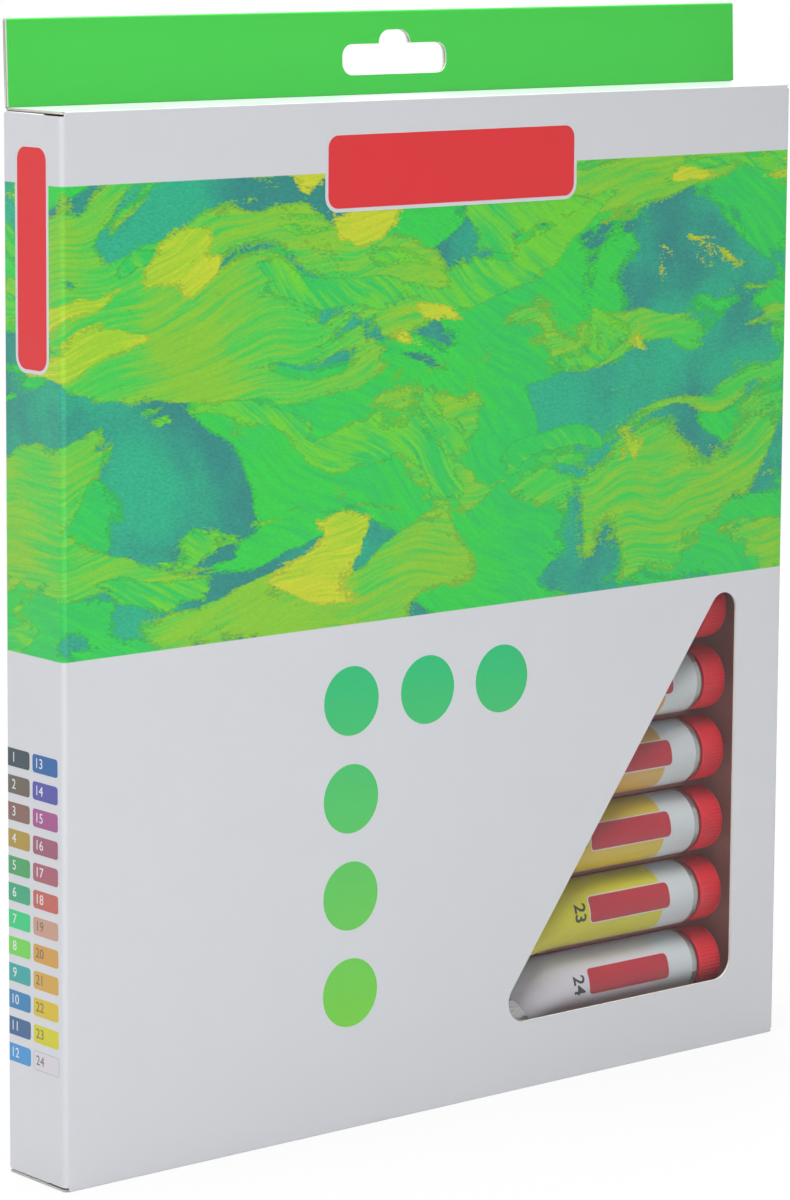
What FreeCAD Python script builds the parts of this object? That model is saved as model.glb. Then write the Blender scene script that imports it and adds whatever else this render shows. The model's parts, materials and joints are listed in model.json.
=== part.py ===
import FreeCAD, Part
import os
import re
import Sketcher

# A gouache paint box: a folding carton with a clear window and a hang tab, and inside it a formed
# tray with two columns of paint tubes. The carton stands upright on its bottom panel, its front
# faces -Y, and the origin is the middle of its base. Lengths are millimetres, angles degrees.

SIZES = [
    # carton
    ("width", 230.0),
    ("depth", 23.0),
    ("height", 250.0),
    ("board", 0.6),
    ("fold_radius", 1.2),
    ("crease_gap", 0.06),
    ("layer_gap", 0.2),
    ("edge_gap", 0.3),
    ("seam_width", 12.0),
    ("seam_setback", 4.0),
    ("overrun", 2.0),
    # window
    ("window_from_right", 16.4),
    ("window_from_base", 17.4),
    ("window_width", 82.5),
    ("window_rise", 111.6),
    ("apex_radius", 4.5),
    ("corner_radius", 5.4),
    ("film_thickness", 0.15),
    ("film_overlap", 7.0),
    # lid, hang tab and tongue
    ("tab_height", 20.5),
    ("tab_lean", 2.0),
    ("tab_fold_radius", 0.5),
    ("tongue_length", 9.5),
    ("tongue_taper", 4.0),
    ("tongue_gap", 0.15),
    ("slot_width", 33.0),
    ("slot_height", 7.5),
    ("slot_from_crease", 5.0),
    ("slot_radius", 3.0),
    ("hump_width", 10.0),
    ("hump_rise", 3.3),
    ("hump_radius", 3.2),
    # dust flaps and bottom tuck
    ("dust_length", 22.0),
    ("dust_setback", 7.0),
    ("dust_taper", 8.0),
    ("dust_clearance", 0.6),
    ("tuck_length", 9.0),
    ("tuck_lean", 14.0),
    ("tuck_turn", 30.0),
    ("flap_gap", 2.5),
    # tubes and caps
    ("row_pitch", 18.8),
    ("first_row", 20.6),
    ("head_room", 20.0),
    ("axis_behind_front", 12.3),
    ("cap_from_side", 15.0),
    ("cap_radius", 8.3),
    ("cap_length", 8.2),
    ("cap_ribs", 12),
    ("rib_depth", 0.35),
    ("cap_gap", 0.2),
    ("tube_radius", 8.4),
    ("tube_length", 46.8),
    ("taper_length", 27.0),
    ("wing_root", 6.4),
    ("crimp_width", 25.6),
    ("crimp_length", 5.5),
    ("crimp_thickness", 1.0),
    ("crimp_roll", 48.0),
    # tray
    ("sheet", 0.45),
    ("tube_clearance", 0.3),
    ("tray_front_depth", 4.5),
    ("flange_clearance", 1.1),
    ("seat_gap", 0.3),
    ("tray_play", 2.0),
    ("tub_side_inset", 4.4),
    ("ridge_drop", 3.0),
    ("ridge_cap_cover", 4.1),
    ("crimp_clearance", 0.3),
    ("back_gap", 0.25),
    ("hollow_width", 1.8),
]

NAMES = {name for name, size in SIZES}
WORD = re.compile(r"[a-z]\w*")

doc = FreeCAD.newDocument("PaintBox")
sheet = doc.addObject("Spreadsheet::Sheet", "Sizes")
for row, (name, size) in enumerate(SIZES, 1):
    sheet.set("A%d" % row, name)
    sheet.set("B%d" % row, str(size))
    sheet.setAlias("B%d" % row, name)
doc.recompute()

# Places that several pieces share, as formulas of the sheet's sizes.
SIDE = "(width / 2)"
SIDE_INSIDE = "(width / 2 - board)"
FRONT = "(-depth / 2)"
FRONT_INSIDE = "(board - depth / 2)"
BACK = "(depth / 2)"
BACK_INSIDE = "(depth / 2 - board)"
BEAD = "(board / 2)"
BEAD_SEAT = "sqrt((board / 2) ^ 2 + (board / 2 + crease_gap) ^ 2)"
TUCK_RISE = "((board / 2 * (1 + sin(tuck_turn)) + crease_gap) / cos(tuck_turn))"
TUCK_SEAT = "sqrt((board / 2) ^ 2 + %s ^ 2)" % TUCK_RISE
FRONT_CREASE = "(board / 2 - depth / 2)"
LID_LEVEL = "(height - board / 2)"
BASE_LEVEL = "(board / 2)"
DUST_CREASE = "(width / 2 - board / 2)"
DUST_TOP = "(height - 3 * board / 2 - layer_gap)"
DUST_BASE = "(3 * board / 2 + layer_gap)"
DUST_FRONT = "(dust_setback - depth / 2)"
DUST_BACK = "(depth / 2 - board - dust_clearance)"
PANEL_SIDE = "(width / 2 - edge_gap)"
CREASE_SIDE = "(width / 2 - fold_radius)"
TAB_CREASE = "(depth / 2 - board - tongue_gap - layer_gap - 3 * board / 2)"
TUCK_CREASE = "(depth / 2 - board - tongue_gap - board / 2)"
TONGUE_SIDE = "(width / 2 - board - dust_length - flap_gap)"
WINDOW_RIGHT = "(width / 2 - window_from_right)"
WINDOW_LEFT = "(width / 2 - window_from_right - window_width)"
WINDOW_TOP = "(window_from_base + window_rise)"
AXIS = "(axis_behind_front - depth / 2)"
ROWS = "(floor((height - first_row - head_room) / row_pitch) + 1)"
LAST_ROW = "(first_row + (%s - 1) * row_pitch)" % ROWS
SHOULDER = "(width / 2 - cap_from_side - cap_length - cap_gap)"
TUBE_END = "(-tube_length - taper_length - crimp_length)"
TROUGH = "(max(tube_radius; cap_radius) + tube_clearance)"
TRAY_FRONT = "(tray_front_depth - depth / 2)"
TRAY_BACK = "(depth / 2 - board - back_gap)"
CRIMP_RISE = "(crimp_width / 2 * sin(crimp_roll) + crimp_thickness / 2 * cos(crimp_roll))"
TUB_LOW = "(first_row - %s - crimp_clearance)" % CRIMP_RISE
TUB_HIGH = "(%s + %s + crimp_clearance)" % (LAST_ROW, CRIMP_RISE)
TUB_SIDE = "(width / 2 - board - tub_side_inset)"
RIDGE_TOP = "(axis_behind_front - depth / 2 + ridge_drop)"
RIDGE_INNER = "(width / 2 - cap_from_side - cap_length - cap_gap - tube_length)"
RIDGE_OUTER = "(width / 2 - cap_from_side - ridge_cap_cover)"


def on_sheet(formula):
    """Points every size named in a formula at its cell."""
    return WORD.sub(lambda found: "Sizes." * (found.group() in NAMES) + found.group(), formula)


def value_of(formula):
    """The present value of a formula, for a sketch's first guess."""
    return float(sheet.evalExpression(on_sheet(formula)))


def negative(formula):
    return "(-(%s))" % formula


def bind(owner, place, formula):
    owner.setExpression(place, on_sheet(formula))


# Sketches


def constrain(sketch, kind, geometry, formula):
    """Adds one dimension to a sketch and ties it to a formula."""
    row = sketch.addConstraint(Sketcher.Constraint(kind, *geometry, value_of(formula)))
    bind(sketch, "Constraints[%d]" % row, formula)


def pin(sketch, geometry, end, across, up):
    """Holds one end of a curve at a place measured from the sketch's origin."""
    constrain(sketch, "DistanceX", (-1, 1, geometry, end), across)
    constrain(sketch, "DistanceY", (-1, 1, geometry, end), up)


def outline(sketch, corners):
    """Draws a closed outline of straight lines through its corners."""
    spots = [FreeCAD.Vector(value_of(across), value_of(up), 0) for across, up in corners]
    count = len(spots)
    lines = []
    for index in range(count):
        lines.append(sketch.addGeometry(Part.LineSegment(spots[index], spots[(index + 1) % count])))
    for index in range(count):
        following = lines[(index + 1) % count]
        sketch.addConstraint(Sketcher.Constraint("Coincident", lines[index], 2, following, 1))
    for line, (across, up) in zip(lines, corners):
        pin(sketch, line, 1, across, up)


def rectangle(sketch, left, low, right, high):
    outline(sketch, [(left, low), (right, low), (right, high), (left, high)])


def circle(sketch, across, up, radius):
    centre = FreeCAD.Vector(value_of(across), value_of(up), 0)
    curve = Part.Circle(centre, FreeCAD.Vector(0, 0, 1), value_of(radius))
    geometry = sketch.addGeometry(curve)
    pin(sketch, geometry, 3, across, up)
    constrain(sketch, "Radius", (geometry,), radius)


# Features

# The origin plane square to each axis, and whether that plane's normal runs against the axis.
PLANES = {"X": ("YZ_Plane", False), "Y": ("XZ_Plane", True), "Z": ("XY_Plane", False)}
# The least share of an edge's direction that lies along an axis when the edge runs along it.
ALONG_SHARE = 0.9999


def origin_feature(body, role):
    return next(item for item in body.Origin.OriginFeatures if item.Role == role)


def add_sketch(body, name, axis, level):
    """A sketch square to an axis of its body, at a level along that axis."""
    role, against = PLANES[axis]
    sketch = body.newObject("Sketcher::SketchObject", name)
    sketch.AttachmentSupport = (origin_feature(body, role), [""])
    sketch.MapMode = "FlatFace"
    bind(sketch, "AttachmentOffset.Base.z", negative(level) if against else level)
    return sketch


def prism(body, kind, name, axis, low, high):
    """Starts a pad or pocket that runs between two levels along an axis, and returns its sketch."""
    sketch = add_sketch(body, name + "_sketch", axis, low)
    feature = body.newObject("PartDesign::" + kind, name)
    feature.Profile = sketch
    bind(feature, "Length", "(%s) - (%s)" % (high, low))
    against = PLANES[axis][1]
    feature.Reversed = against if kind == "Pad" else not against
    body.Tip = feature
    return sketch


def pad(body, name, axis, low, high):
    return prism(body, "Pad", name, axis, low, high)


def pocket(body, name, axis, low, high):
    return prism(body, "Pocket", name, axis, low, high)


def along(edge, axis):
    """Tells whether an edge is straight and runs along an axis."""
    if edge.Curve.TypeId != "Part::GeomLine":
        return False
    return abs(edge.Curve.Direction.dot(axis)) > ALONG_SHARE


def round_edges(body, name, radius, chosen):
    """Rounds the edges of a body's last feature that a test picks."""
    doc.recompute()
    base = body.Tip
    edges = base.Shape.Edges
    picked = ["Edge%d" % number for number, edge in enumerate(edges, 1) if chosen(edge)]
    feature = body.newObject("PartDesign::Fillet", name)
    feature.Base = (base, picked)
    bind(feature, "Radius", radius)
    body.Tip = feature


def repeat(body, name, originals, count, spacing):
    """Repeats features upward in a row."""
    pattern = body.newObject("PartDesign::LinearPattern", name)
    pattern.Originals = [doc.getObject(original) for original in originals]
    pattern.Direction = (origin_feature(body, "Z_Axis"), [""])
    bind(pattern, "Occurrences", count)
    bind(pattern, "Length", "(%s - 1) * (%s)" % (count, spacing))
    body.Tip = pattern


X_AXIS = FreeCAD.Vector(1, 0, 0)
Y_AXIS = FreeCAD.Vector(0, 1, 0)
Z_AXIS = FreeCAD.Vector(0, 0, 1)
pieces = {}


def new_piece(label):
    body = doc.addObject("PartDesign::Body", label)
    pieces[label] = body
    return body


def lean(body, across, up, angle):
    """Stands a body on a crease and leans it about that crease."""
    body.Placement.Rotation = FreeCAD.Rotation(X_AXIS, value_of(angle))
    bind(body, "Placement.Base.y", across)
    bind(body, "Placement.Base.z", up)
    bind(body, "Placement.Rotation.Angle", angle)


# Carton sleeve: four panels glued to a tube, with rounded folds and full-round crease edges


def window_corners():
    return [
        (WINDOW_LEFT, "window_from_base"),
        (WINDOW_RIGHT, "window_from_base"),
        (WINDOW_RIGHT, WINDOW_TOP),
    ]


def make_sleeve():
    body = new_piece("carton_sleeve")
    ring = pad(body, "walls", "Z", DUST_BASE, DUST_TOP)
    rectangle(ring, negative(SIDE), FRONT, SIDE, BACK)
    rectangle(ring, negative(SIDE_INSIDE), FRONT_INSIDE, SIDE_INSIDE, BACK_INSIDE)
    inside = value_of(SIDE_INSIDE) + value_of(BEAD)

    def outer_fold(edge):
        return along(edge, Z_AXIS) and abs(edge.CenterOfMass.x) > inside

    def inner_fold(edge):
        return along(edge, Z_AXIS) and value_of(CREASE_SIDE) < abs(edge.CenterOfMass.x) < inside

    round_edges(body, "outer_folds", "fold_radius", outer_fold)
    round_edges(body, "inner_folds", "fold_radius - board", inner_fold)
    front = pad(body, "front_panel", "Z", BASE_LEVEL, LID_LEVEL)
    rectangle(front, negative(CREASE_SIDE), FRONT, CREASE_SIDE, FRONT_INSIDE)
    back = pad(body, "back_panel", "Z", "0", "height - edge_gap")
    rectangle(back, negative(CREASE_SIDE), BACK_INSIDE, CREASE_SIDE, BACK)
    creases = pad(body, "front_creases", "X", negative(CREASE_SIDE), CREASE_SIDE)
    circle(creases, FRONT_CREASE, LID_LEVEL, BEAD)
    circle(creases, FRONT_CREASE, BASE_LEVEL, BEAD)
    creases = pad(body, "side_creases", "Y", DUST_FRONT, DUST_BACK)
    for side in (DUST_CREASE, negative(DUST_CREASE)):
        circle(creases, side, DUST_TOP, BEAD)
        circle(creases, side, DUST_BASE, BEAD)
    seam = pad(body, "glue_seam", "X", "%s - board" % SIDE_INSIDE, SIDE_INSIDE)
    seam_end = "(%s + seam_setback)" % DUST_BASE
    seam_top = "(%s - seam_setback)" % DUST_TOP
    inner = "(%s - seam_width)" % BACK_INSIDE
    rectangle(seam, inner, seam_end, BACK_INSIDE, seam_top)
    window = pocket(body, "window", "Y", "%s - overrun" % FRONT, "%s + overrun" % FRONT_INSIDE)
    outline(window, window_corners())

    def in_window(edge):
        across = edge.CenterOfMass.x
        in_front = edge.CenterOfMass.y < value_of(FRONT_INSIDE)
        return along(edge, Y_AXIS) and in_front and abs(across) < value_of(CREASE_SIDE) - value_of("board")

    def at_apex(edge):
        return in_window(edge) and edge.CenterOfMass.z > value_of("window_from_base + window_rise / 2")

    def at_base(edge):
        return in_window(edge) and edge.CenterOfMass.z < value_of("window_from_base + corner_radius")

    round_edges(body, "window_apex", "apex_radius", at_apex)
    round_edges(body, "window_corners", "corner_radius", at_base)


def make_film():
    film = doc.addObject("Part::Box", "window_film")
    pieces["window_film"] = film
    bind(film, "Length", "window_width + 2 * film_overlap")
    bind(film, "Width", "film_thickness")
    bind(film, "Height", "window_rise + film_overlap")
    bind(film, "Placement.Base.x", "%s - film_overlap" % WINDOW_LEFT)
    bind(film, "Placement.Base.y", FRONT_INSIDE)
    bind(film, "Placement.Base.z", "window_from_base - film_overlap")


# End panels: each turns on the round top or bottom edge of the front panel


def make_end_panel(label, level, rear):
    """A flat panel hinged on a front crease, with a round crease edge along its rear."""
    body = new_piece(label)
    plate = pad(body, label + "_plate", "Z", "%s - board / 2" % level, "%s + board / 2" % level)
    rectangle(plate, negative(PANEL_SIDE), FRONT_CREASE, PANEL_SIDE, rear)
    bead = pad(body, label + "_bead", "X", negative(PANEL_SIDE), PANEL_SIDE)
    circle(bead, rear, level, BEAD)
    seat = pocket(body, label + "_seat", "X", "-width / 2 - overrun", "width / 2 + overrun")
    circle(seat, FRONT_CREASE, level, BEAD_SEAT)


def make_hang_tab():
    """A doubled tab that stands on the lid's rear crease; its rear layer runs down as a tongue."""
    body = new_piece("hang_tab")
    rear_front = "(board / 2 + layer_gap)"
    rear_back = "(3 * board / 2 + layer_gap)"
    layers = pad(body, "tab_layers", "X", negative(PANEL_SIDE), PANEL_SIDE)
    rectangle(layers, negative(BEAD), "0", rear_back, "tab_height")

    def at_fold(edge):
        return along(edge, X_AXIS) and edge.CenterOfMass.z > value_of("tab_height / 2")

    round_edges(body, "tab_fold", "tab_fold_radius", at_fold)
    gap = pocket(body, "tab_gap", "X", "-width / 2 - overrun", "width / 2 + overrun")
    rectangle(gap, BEAD, "-overrun", rear_front, "tab_height - board")
    seat = pocket(body, "tab_seat", "X", "-width / 2 - overrun", "width / 2 + overrun")
    circle(seat, "0", "0", BEAD_SEAT)
    tongue = pad(body, "tab_tongue", "Y", rear_front, rear_back)
    tip = "(%s - tongue_taper)" % TONGUE_SIDE
    outline(
        tongue,
        [
            (negative(tip), "-tongue_length"),
            (tip, "-tongue_length"),
            (TONGUE_SIDE, "0"),
            (TONGUE_SIDE, "board"),
            (negative(TONGUE_SIDE), "board"),
            (negative(TONGUE_SIDE), "0"),
        ],
    )
    slot_top = "(slot_from_crease + slot_height)"
    slot = pocket(body, "hang_slot", "Y", "-board - overrun", "%s + overrun" % rear_back)
    rectangle(slot, "-slot_width / 2", "slot_from_crease", "slot_width / 2", slot_top)

    def at_slot_end(edge):
        return along(edge, Y_AXIS) and abs(edge.CenterOfMass.x) < value_of("slot_width")

    round_edges(body, "slot_ends", "slot_radius", at_slot_end)
    hump = pocket(body, "slot_hump", "Y", "-board - overrun", "%s + overrun" % rear_back)
    hump_low = "(%s - hump_radius)" % slot_top
    rectangle(hump, "-hump_width / 2", hump_low, "hump_width / 2", "%s + hump_rise" % slot_top)

    def at_hump(edge):
        near_top = edge.CenterOfMass.z > value_of("%s + hump_rise / 2" % slot_top)
        return along(edge, Y_AXIS) and near_top and abs(edge.CenterOfMass.x) < value_of("slot_width / 2")

    round_edges(body, "hump_top", "hump_radius", at_hump)
    lean(body, TAB_CREASE, LID_LEVEL, "-tab_lean")


def make_bottom_tuck():
    """The tuck flap at the rear of the bottom panel, leaning clear of the back panel."""
    body = new_piece("bottom_tuck_flap")
    plate = pad(body, "tuck_plate", "Y", negative(BEAD), BEAD)
    tip = "(%s - tongue_taper)" % TONGUE_SIDE
    outline(
        plate,
        [
            (negative(TONGUE_SIDE), "0"),
            (TONGUE_SIDE, "0"),
            (TONGUE_SIDE, "tuck_length / 2"),
            (tip, "tuck_length"),
            (negative(tip), "tuck_length"),
            (negative(TONGUE_SIDE), "tuck_length / 2"),
        ],
    )
    seat = pocket(body, "tuck_seat", "X", "-width / 2 - overrun", "width / 2 + overrun")
    circle(seat, "0", "0", TUCK_SEAT)
    lean(body, TUCK_CREASE, BASE_LEVEL, "tuck_lean")


def make_dust_flap(label, level, sign):
    """A side flap whose front edge slants back, so that it turns clear of the panel over it."""
    body = new_piece(label)
    crease = DUST_CREASE if sign > 0 else negative(DUST_CREASE)
    reach = "(%s - dust_length)" % DUST_CREASE
    tip = reach if sign > 0 else negative(reach)
    plate = pad(body, label + "_plate", "Z", "%s - board / 2" % level, "%s + board / 2" % level)
    outline(
        plate,
        [
            (crease, DUST_FRONT),
            (tip, "%s + dust_taper" % DUST_FRONT),
            (tip, DUST_BACK),
            (crease, DUST_BACK),
        ],
    )
    seat = pocket(body, label + "_seat", "Y", "-depth / 2 - overrun", "depth / 2 + overrun")
    circle(seat, crease, level, BEAD_SEAT)


# Paint tube and screw cap, along +X from the cap end of the tube


def make_tube():
    """A round barrel pressed flat behind between two slanting faces, with a wide thin crimp."""
    body = doc.addObject("PartDesign::Body", "tube")
    barrel = pad(body, "barrel", "X", "-tube_length - taper_length", "0")
    circle(barrel, "0", "0", "tube_radius")
    reach = "tube_radius + overrun"
    flats = pocket(body, "flats", "Y", negative(reach), reach)
    for turn in (str, negative):
        outline(
            flats,
            [
                ("-tube_length", turn("tube_radius")),
                ("-tube_length - taper_length", turn("crimp_thickness / 2")),
                ("-tube_length - taper_length", turn(reach)),
                ("-tube_length", turn(reach)),
            ],
        )
    half_thick = "crimp_thickness / 2"
    crimp = pad(body, "crimp", "Z", negative(half_thick), half_thick)
    wing_end = "-tube_length - taper_length"
    outline(
        crimp,
        [
            ("-tube_length", "-wing_root"),
            ("-tube_length", "wing_root"),
            (wing_end, "crimp_width / 2"),
            (TUBE_END, "crimp_width / 2"),
            (TUBE_END, "-crimp_width / 2"),
            (wing_end, "-crimp_width / 2"),
        ],
    )
    return body


def make_cap():
    """A screw cap with straight grip ribs round its side."""
    body = doc.addObject("PartDesign::Body", "cap")
    grip = pad(body, "grip", "X", "cap_gap", "cap_gap + cap_length")
    corners = []
    for corner in range(2 * round(value_of("cap_ribs"))):
        radius = "(cap_radius - rib_depth)" if corner % 2 else "cap_radius"
        angle = "(%d * 180 / cap_ribs)" % corner
        corners.append(("%s * cos(%s)" % (radius, angle), "%s * sin(%s)" % (radius, angle)))
    outline(grip, corners)
    return body


def place_tubes(tube, cap):
    """Lays the tubes in two columns, caps outward, numbered down the left column and then the right."""
    rows = round(value_of(ROWS))
    roll = FreeCAD.Rotation(X_AXIS, value_of("crimp_roll"))
    facing_left = FreeCAD.Rotation(Y_AXIS, 180)
    for column, (shoulder, turn) in enumerate(((negative(SHOULDER), facing_left), (SHOULDER, None))):
        for row in range(rows):
            number = column * rows + row + 1
            level = "first_row + row_pitch * %d" % (rows - 1 - row)
            for name, master in (("tube", tube), ("cap", cap)):
                label = "%s_%02d" % (name, number)
                link = doc.addObject("App::Link", label)
                link.LinkedObject = master
                link.Placement.Rotation = turn * roll if turn else roll
                bind(link, "Placement.Base.x", shoulder)
                bind(link, "Placement.Base.y", AXIS)
                bind(link, "Placement.Base.z", level)
                pieces[label] = link


# Tray: a thin formed sheet with a flange, a tub and two rows of cradles hollow from behind


def draw_hollow(sketch):
    """The space behind the ridge between the first two troughs, one sheet away from both."""
    wall = "(%s + sheet)" % TROUGH
    behind = "(%s + overrun)" % TRAY_BACK
    upper = "(first_row + row_pitch)"
    narrowest = "(%s ^ 2 - (row_pitch / 2 - hollow_width / 2) ^ 2)" % wall
    drop = "sqrt(max((ridge_drop + sheet) ^ 2; %s))" % narrowest
    rise = "sqrt(%s ^ 2 - %s ^ 2)" % (wall, drop)
    foot = "((%s ^ 2 - %s * (%s - %s)) / %s)" % (wall, drop, behind, AXIS, rise)
    ceiling = "(%s + %s)" % (AXIS, drop)
    outline(
        sketch,
        [
            (ceiling, "first_row + %s" % rise),
            (ceiling, "%s - %s" % (upper, rise)),
            (behind, "%s - %s" % (upper, foot)),
            (behind, "first_row + %s" % foot),
        ],
    )


def make_tray():
    body = new_piece("tray")
    flange_side = "(width / 2 - board - flange_clearance)"
    flange = pad(body, "flange", "Y", TRAY_FRONT, "%s + sheet" % TRAY_FRONT)
    flange_top = "height - board - seat_gap - tray_play"
    rectangle(flange, negative(flange_side), "board + seat_gap", flange_side, flange_top)
    tub = pad(body, "tub", "Y", TRAY_FRONT, TRAY_BACK)
    low = "%s - sheet" % TUB_LOW
    high = "%s + sheet" % TUB_HIGH
    rectangle(tub, negative(TUB_SIDE), low, TUB_SIDE, high)
    inner_side = "(%s - sheet)" % TUB_SIDE
    inside = pocket(body, "tub_inside", "Y", "%s - overrun" % TRAY_FRONT, "%s - sheet" % TRAY_BACK)
    rectangle(inside, negative(inner_side), TUB_LOW, inner_side, TUB_HIGH)
    cradles = pad(body, "cradles", "Y", RIDGE_TOP, TRAY_BACK)
    rectangle(cradles, RIDGE_INNER, low, RIDGE_OUTER, high)
    rectangle(cradles, negative(RIDGE_OUTER), low, negative(RIDGE_INNER), high)
    reach = "%s + overrun" % RIDGE_OUTER
    trough = pocket(body, "trough", "X", negative(reach), reach)
    circle(trough, AXIS, "first_row", TROUGH)
    repeat(body, "troughs", ["trough"], ROWS, "row_pitch")
    near = "(%s + sheet)" % RIDGE_INNER
    far = "(%s - sheet)" % RIDGE_OUTER
    draw_hollow(pocket(body, "right_hollow", "X", near, far))
    draw_hollow(pocket(body, "left_hollow", "X", negative(far), negative(near)))
    repeat(body, "hollows", ["right_hollow", "left_hollow"], "(%s - 1)" % ROWS, "row_pitch")


make_sleeve()
make_film()
make_end_panel("lid_panel", LID_LEVEL, TAB_CREASE)
make_hang_tab()
make_dust_flap("top_dust_flap_left", DUST_TOP, -1)
make_dust_flap("top_dust_flap_right", DUST_TOP, 1)
make_end_panel("bottom_panel", BASE_LEVEL, TUCK_CREASE)
make_bottom_tuck()
make_dust_flap("bottom_dust_flap_left", DUST_BASE, -1)
make_dust_flap("bottom_dust_flap_right", DUST_BASE, 1)
make_tray()
place_tubes(make_tube(), make_cap())
doc.recompute()

for item in doc.Objects:
    if "Invalid" in item.State or "Error" in item.State:
        raise RuntimeError("%s did not build" % item.Label)
shapes = {label: Part.getShape(piece) for label, piece in pieces.items()}
for label, shape in shapes.items():
    if shape.isNull() or not shape.isValid():
        raise RuntimeError("%s has no valid shape" % label)
os.makedirs("parts", exist_ok=True)
for label, shape in shapes.items():
    shape.exportStep(os.path.join("parts", label + ".step"))
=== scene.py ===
import json
import math

import bpy
from mathutils import Matrix, Vector


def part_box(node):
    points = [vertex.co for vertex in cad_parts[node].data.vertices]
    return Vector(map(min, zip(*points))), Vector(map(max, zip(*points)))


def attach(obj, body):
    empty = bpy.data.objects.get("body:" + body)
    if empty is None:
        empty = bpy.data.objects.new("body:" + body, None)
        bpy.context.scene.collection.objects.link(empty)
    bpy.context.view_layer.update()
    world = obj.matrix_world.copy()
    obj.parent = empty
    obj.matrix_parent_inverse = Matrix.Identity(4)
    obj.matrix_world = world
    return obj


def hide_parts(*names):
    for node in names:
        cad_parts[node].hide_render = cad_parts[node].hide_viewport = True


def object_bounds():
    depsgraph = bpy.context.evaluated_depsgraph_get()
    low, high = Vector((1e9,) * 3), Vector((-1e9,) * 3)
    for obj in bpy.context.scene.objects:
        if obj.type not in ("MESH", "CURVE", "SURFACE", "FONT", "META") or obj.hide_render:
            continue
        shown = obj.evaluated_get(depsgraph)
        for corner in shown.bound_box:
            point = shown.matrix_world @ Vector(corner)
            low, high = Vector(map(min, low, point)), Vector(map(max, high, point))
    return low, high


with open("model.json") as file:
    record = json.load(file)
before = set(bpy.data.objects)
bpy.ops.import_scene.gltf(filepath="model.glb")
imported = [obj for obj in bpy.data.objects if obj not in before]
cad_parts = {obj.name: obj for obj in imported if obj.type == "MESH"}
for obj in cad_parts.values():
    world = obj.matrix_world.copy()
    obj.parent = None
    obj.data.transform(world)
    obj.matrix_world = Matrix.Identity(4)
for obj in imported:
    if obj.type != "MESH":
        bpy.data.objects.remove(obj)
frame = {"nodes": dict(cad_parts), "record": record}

CAD_BOX = [list(corner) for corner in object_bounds()]

bl_info = {
    "name": "Paint Box Dressing",
    "version": (1, 0, 0),
    "blender": (4, 5, 0),
    "location": "View3D > Sidebar > Paint Box",
    "description": "Dresses a carton of paint tubes: printed board, clear film, tray, tubes and caps",
    "category": "Object",
}

MM = 0.001
ROWS = 12
TUBES = 2 * ROWS
IMAGE_HEIGHT = 1200
SENSOR_WIDTH = 36

# Screen colours of the paints, top to bottom: the left column, then the right.
PAINTS = (
    (80, 90, 98), (115, 108, 100), (140, 110, 105), (176, 152, 84), (90, 165, 110), (80, 170, 130),
    (75, 205, 135), (125, 212, 100), (78, 170, 168), (75, 138, 185), (82, 112, 152), (88, 155, 213),
    (70, 112, 168), (98, 98, 172), (168, 98, 148), (162, 104, 124), (172, 108, 122), (196, 110, 104),
    (200, 160, 142), (210, 162, 92), (210, 170, 92), (216, 190, 72), (212, 206, 66), (216, 212, 220),
)

# Print on the carton in millimetres: a field's face, its middle across and up, its width and height.
FIELDS = (
    ("front", "front", (1.1, 233.35), (78.0, 17.3)),
    ("side", "left", (0.0, 216.2), (11.2, 50.7)),
)
DABS = ((-30, 106), (-6, 106), (18, 106), (-30, 82), (-30, 58), (-30, 34))
DAB_INK_HEIGHTS = (20, 116)
DAB_GREENS = ((118, 206, 58), (30, 186, 118))
PICTURE_REAR = 10.6

# The colour chart on the left side, in millimetres from the carton's middle plane.
CHART_TOP = 99.75
REAR_CHIP_START = 2.0
REAR_CHIP_WRAP = 0.5
FRONT_CHIP_END = 0.8
CHIP_NUMBER_PLACES = (8.3, -1.7)
CHIP_NUMBER_HEIGHT = 3.3
CHIP_OUTLINE = 0.18
CHIP_OUTLINE_GREY = (172, 178, 186)
DARK_NUMBER = (112, 100, 84)
LIGHT_NUMBER = (222, 226, 228)
PALE_PAINT_SUM = 460

# Fields on a tube's unrolled skin in millimetres: low and high along, then round, and the corner radius.
PAINT_BAND = (((13.6, 80.0), (-9.6, 16.0)), 2.2)
PLAQUE_LINE = (((10.9, 39.3), (-1.7, 5.7)), 1.5)
PLAQUE_FIELD = (((11.2, 39.0), (-1.4, 5.4)), 1.2)
BARE_SHOULDER_END = 2.8
BARE_FOLD_START = 61.6
BARE_FOLD_SLANT = -0.56
CRUMPLED_FROM = 58.0
CRUMPLED_TO = 66.0
TUBE_NUMBER_HEIGHT = 5.2
TUBE_NUMBER_ALONG = 42.6
TUBE_NUMBER_ROUND = 1.6

# Rings of the tube and cap models: each ring's move in millimetres and its scale against the last.
# A ring of the crimp moves by a share of the crimp's length.
RING_TOLERANCE = 0.01
TUBE_SIDES = 64
TAPER_STEPS = 9
TAPER_EASE = 0.35
TAPER_SPREAD = 1.35
SHOULDER_EDGE = 0.5
CRIMP_RINGS = ((0.04, 1.5), (0.40, 1.0), (0.06, 0.78), (0.06, 1.28), (0.38, 1.0), (0.06, 0.7))
SHOULDER_RINGS = ((0.25, 0.985), (0.75, 0.90), (0.15, 0.78))
CAP_LIP = 0.965
CAP_LIP_ROUND = 0.985
CAP_LIP_RINGS = ((0.3, 1 / CAP_LIP_ROUND), (0.25, CAP_LIP_ROUND / CAP_LIP))
CAP_GRIP = 6.1
CAP_ROUND_RINGS = ((0.25, 0.99), (0.45, 0.975), (0.35, 0.94), (0.25, 0.9), (0.12, 0.86))
CAP_FACE = 0.9
CAP_DISH = (-0.25, 0.96)
CAP_MOUTH_RINGS = ((0.0, 0.9), (1.2, 0.98))

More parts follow.
